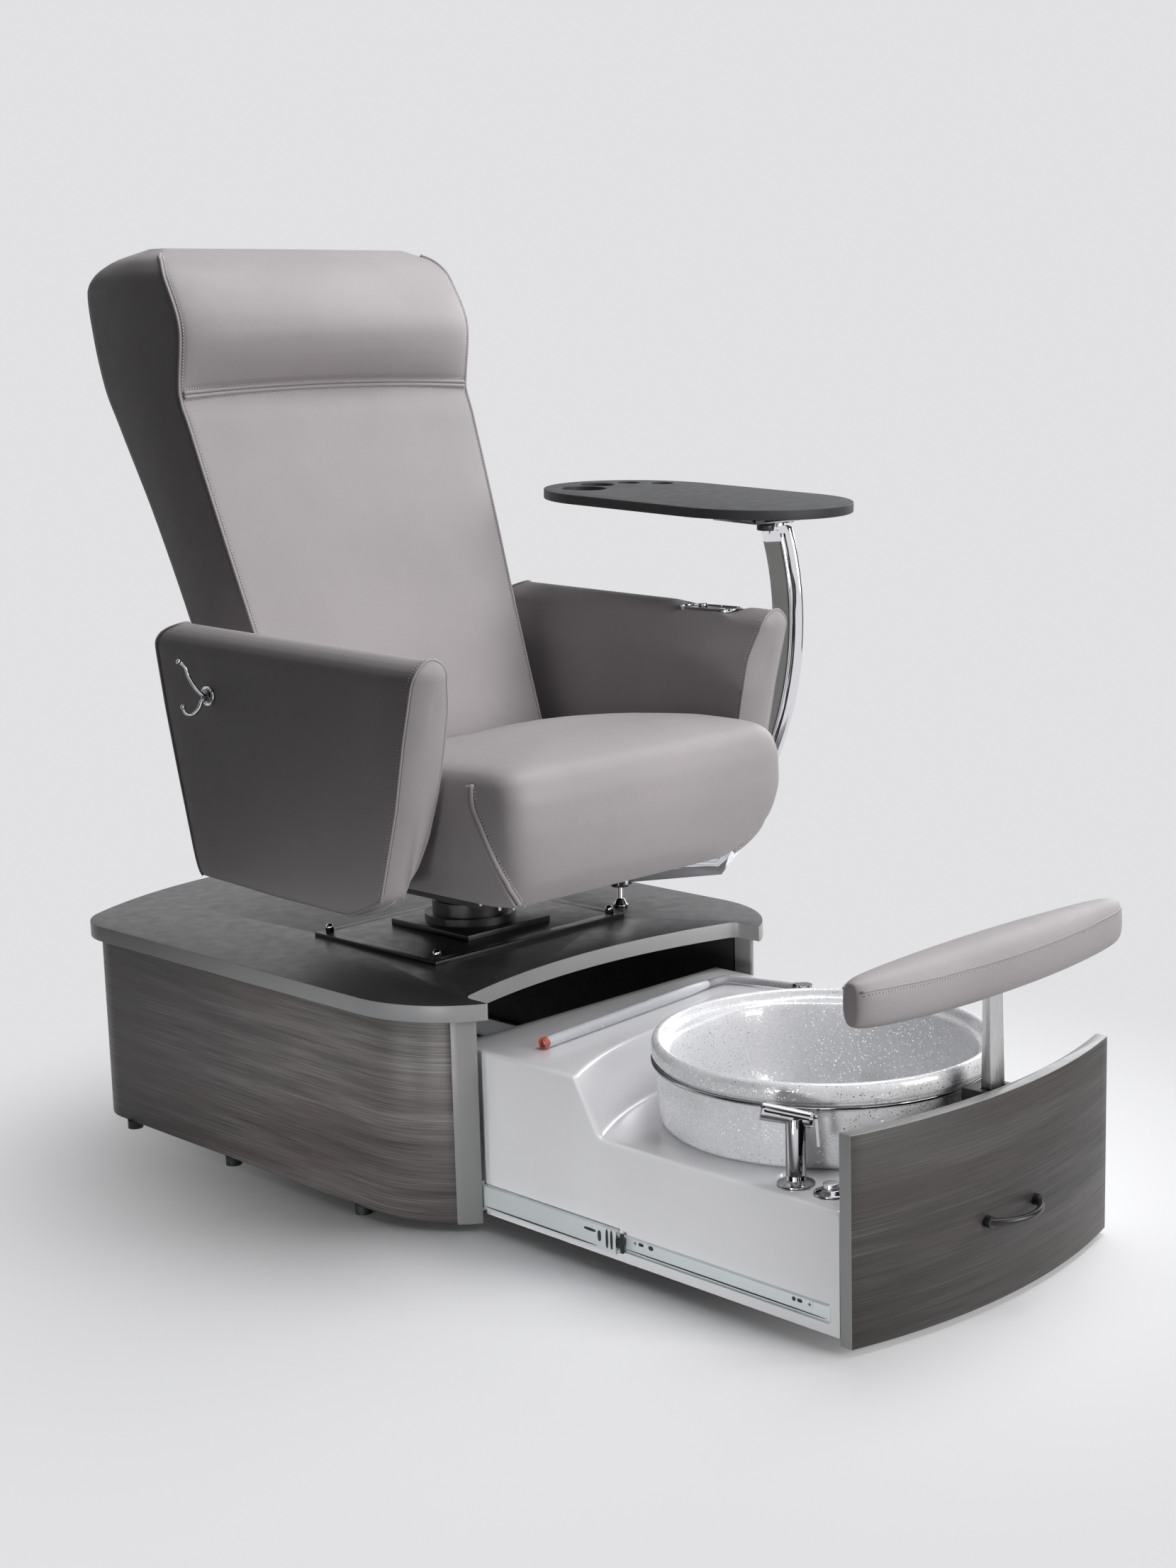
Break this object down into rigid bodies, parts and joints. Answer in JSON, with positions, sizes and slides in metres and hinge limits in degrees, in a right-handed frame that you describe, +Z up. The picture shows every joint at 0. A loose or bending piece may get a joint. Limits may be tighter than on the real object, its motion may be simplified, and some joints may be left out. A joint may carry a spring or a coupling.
{
  "type": "pedicure spa chair",
  "caption": "Upholstered swivel and reclining pedicure chair on a laminate cabinet with a slide-out foot bath, footrest, hand spray and swing-out side tray.",
  "frame": {"origin": "on the floor in the chair's plane of symmetry, under the middle rear glide, 974 mm behind the front of the drawer opening", "axes": "+X to the sitter's left, +Y to the rear of the cabinet, +Z up; the chair and the drawer face -Y"},
  "size_m": [1.107, 1.7689, 1.455],
  "materials": {
    "charcoal_laminate": "satin dark laminate with grey edge band",
    "wood_laminate": "grey-brown wood-grain laminate, horizontal grain",
    "grey_paint": "satin grey",
    "dark_board": "dark melamine",
    "black_plastic": "black, slightly textured",
    "zinc": "bright zinc-plated steel",
    "black_steel": "black powder coat, satin",
    "chrome": "polished",
    "leatherette": "taupe grey leatherette, fine grain",
    "white_moulding": "white gloss",
    "glitter_bowl": "white gloss with silver glitter",
    "satin_steel": "satin",
    "grey_inlay": "dark grey satin",
    "clear_plastic": "clear"
  },
  "bodies": {
    "cabinet": {"platform_top": "charcoal_laminate", "side_panel_right": "wood_laminate", "side_panel_left": "wood_laminate", "back_panel": "wood_laminate", "stile_right": "grey_paint", "stile_left": "grey_paint", "inner_board_right": "dark_board", "inner_board_left": "dark_board", "rear_board": "dark_board", "levelling_feet": "black_plastic", "slide_outer_right": "zinc", "slide_outer_left": "zinc", "base_plate": "black_steel", "plate_bolts": "chrome", "riser_plate": "black_steel", "swivel_post": "black_steel"},
    "chair": {"swivel_hub": "black_steel", "seat_board": "dark_board", "seat_bolts": "zinc", "seat_cushion": "leatherette", "arm_right": "leatherette", "arm_left": "leatherette", "arm_brackets": "black_steel", "purse_hook": "chrome", "control_bezel": "chrome", "recline_brackets": "black_steel", "tray_bracket": "black_steel", "glide_foot": "zinc"},
    "backrest": {"back_frame": "black_steel", "back_cushion": "leatherette", "back_board": "leatherette"},
    "tray_arm": {"tray_arm": "chrome", "tray_arm_inlay": "grey_inlay"},
    "tray": {"tray_mount": "chrome", "tray": "black_plastic"},
    "tray_knob": {"tray_knob": "black_plastic"},
    "slide_middle_right": {"slide_middle_right": "zinc"},
    "slide_middle_left": {"slide_middle_left": "zinc"},
    "slide_clip_right": {"slide_clip_right": "black_plastic"},
    "slide_clip_left": {"slide_clip_left": "black_plastic"},
    "drawer": {"slide_inner_right": "zinc", "slide_inner_left": "zinc", "drawer_body": "white_moulding", "drawer_front": "wood_laminate", "drawer_handle": "black_steel", "bowl": "glitter_bowl", "bowl_ring": "chrome", "drain_strainer": "chrome", "spray_holder": "chrome", "button_bezel": "chrome", "footrest_socket": "black_plastic", "wand_tube": "clear_plastic", "wand_hose": "satin_steel", "hose_gland": "chrome"},
    "footrest": {"footrest_post": "satin_steel", "footrest_pad": "leatherette"},
    "hand_spray": {"spray_handle": "chrome"},
    "spray_lever": {"spray_lever": "chrome"},
    "air_button": {"button_cap": "satin_steel"},
    "control_button": {"control_button": "chrome"}
  },
  "joints": [
    {"name": "chair_swivel", "type": "hinge", "parent": "cabinet", "child": "chair", "pos_m": [0, -0.629, 0.42], "axis": [0, 0, 1], "range_deg": [-90, 90]},
    {"name": "backrest_recline", "type": "hinge", "parent": "chair", "child": "backrest", "pos_m": [0, -0.469, 0.52], "axis": [-1, 0, 0], "range_deg": [0, 18]},
    {"name": "tray_arm_swing", "type": "hinge", "parent": "chair", "child": "tray_arm", "pos_m": [0.254, -0.724, 0.416], "axis": [0, 0, 1], "range_deg": [0, 16]},
    {"name": "tray_turn", "type": "hinge", "parent": "tray_arm", "child": "tray", "pos_m": [0.46698, -0.89585, 0.983], "axis": [0, -0.0489, 0.9988], "range_deg": [-20, 100]},
    {"name": "tray_knob_turn", "type": "hinge", "parent": "tray", "child": "tray_knob", "pos_m": [0.42098, -0.91383, 0.98212], "axis": [0, -0.0489, 0.9988], "range_deg": [-180, 180]},
    {"name": "drawer_slide", "type": "slide", "parent": "cabinet", "child": "drawer", "axis": [0, 1, 0], "range_m": [0, 0.58]},
    {"name": "slide_middle_right_run", "type": "slide", "parent": "cabinet", "child": "slide_middle_right", "axis": [0, 1, 0], "range_m": [0, 0.29]},
    {"name": "slide_middle_left_run", "type": "slide", "parent": "cabinet", "child": "slide_middle_left", "axis": [0, 1, 0], "range_m": [0, 0.29]},
    {"name": "slide_clip_right_flick", "type": "hinge", "parent": "slide_middle_right", "child": "slide_clip_right", "pos_m": [-0.2968, -1.2539, 0.05], "axis": [1, 0, 0], "range_deg": [-4, 4], "stiffness_Nm_per_rad": 0.2},
    {"name": "slide_clip_left_flick", "type": "hinge", "parent": "slide_middle_left", "child": "slide_clip_left", "pos_m": [0.2968, -1.2539, 0.05], "axis": [1, 0, 0], "range_deg": [-4, 4], "stiffness_Nm_per_rad": 0.2},
    {"name": "footrest_height", "type": "slide", "parent": "drawer", "child": "footrest", "axis": [0, 0, 1], "range_m": [-0.1, 0.04]},
    {"name": "spray_lift", "type": "slide", "parent": "drawer", "child": "hand_spray", "axis": [0, 0, 1], "range_m": [0, 0.12]},
    {"name": "spray_lever_squeeze", "type": "hinge", "parent": "hand_spray", "child": "spray_lever", "pos_m": [-0.22415, -1.55333, 0.2855], "axis": [0.6972, 0.7169, 0], "range_deg": [0, 12], "stiffness_Nm_per_rad": 0.4},
    {"name": "air_button_press", "type": "slide", "parent": "drawer", "child": "air_button", "axis": [0, 0, -1], "range_m": [0, 0.004], "stiffness_N_per_m": 400},
    {"name": "control_button_press", "type": "slide", "parent": "chair", "child": "control_button", "axis": [0, 0, -1], "range_m": [0, 0.002], "stiffness_N_per_m": 400}
  ],
  "couplings": [
    {"joint": "slide_middle_right_run", "follows": "drawer_slide", "ratio": 0.5},
    {"joint": "slide_middle_left_run", "follows": "drawer_slide", "ratio": 0.5}
  ]
}
